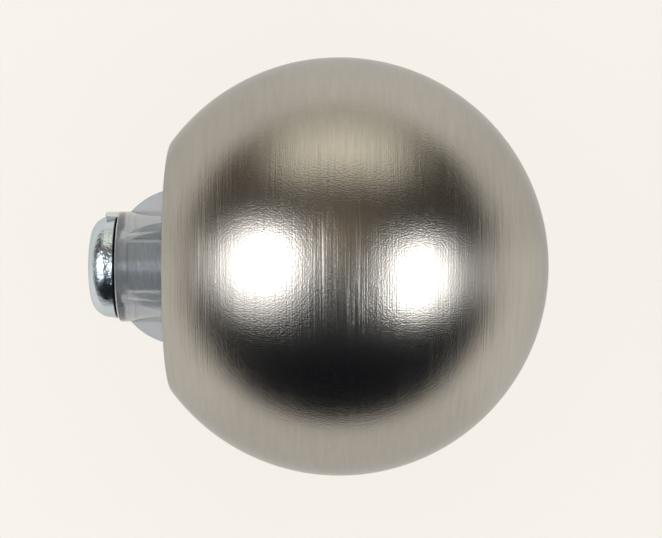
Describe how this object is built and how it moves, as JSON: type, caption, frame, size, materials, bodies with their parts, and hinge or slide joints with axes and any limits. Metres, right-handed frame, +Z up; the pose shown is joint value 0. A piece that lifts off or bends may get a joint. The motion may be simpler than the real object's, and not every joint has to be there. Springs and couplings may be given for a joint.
{
  "type": "curtain pole finial",
  "caption": "Brushed metal ball finial with a flat face and a pole socket; a clear finned plug, clamped in by a pan head screw, grips the end of a tubular curtain pole.",
  "frame": {"origin": "on the pole's axis at the floor of the ball's socket, where the end of the pole comes to rest", "axes": "+X along the pole's axis into the ball, +Z up; the plug and the screw head point along -X"},
  "size_m": [0.044, 0.04, 0.04],
  "materials": {
    "brushed_ball": "satin, brushed around the pole's axis",
    "clear_plug": "clear, moulded",
    "plated_screw": "bright zinc plate"
  },
  "bodies": {
    "root": {"finial_ball": "brushed_ball", "pole_plug": "clear_plug", "clamp_screw": "plated_screw"}
  },
  "joints": []
}
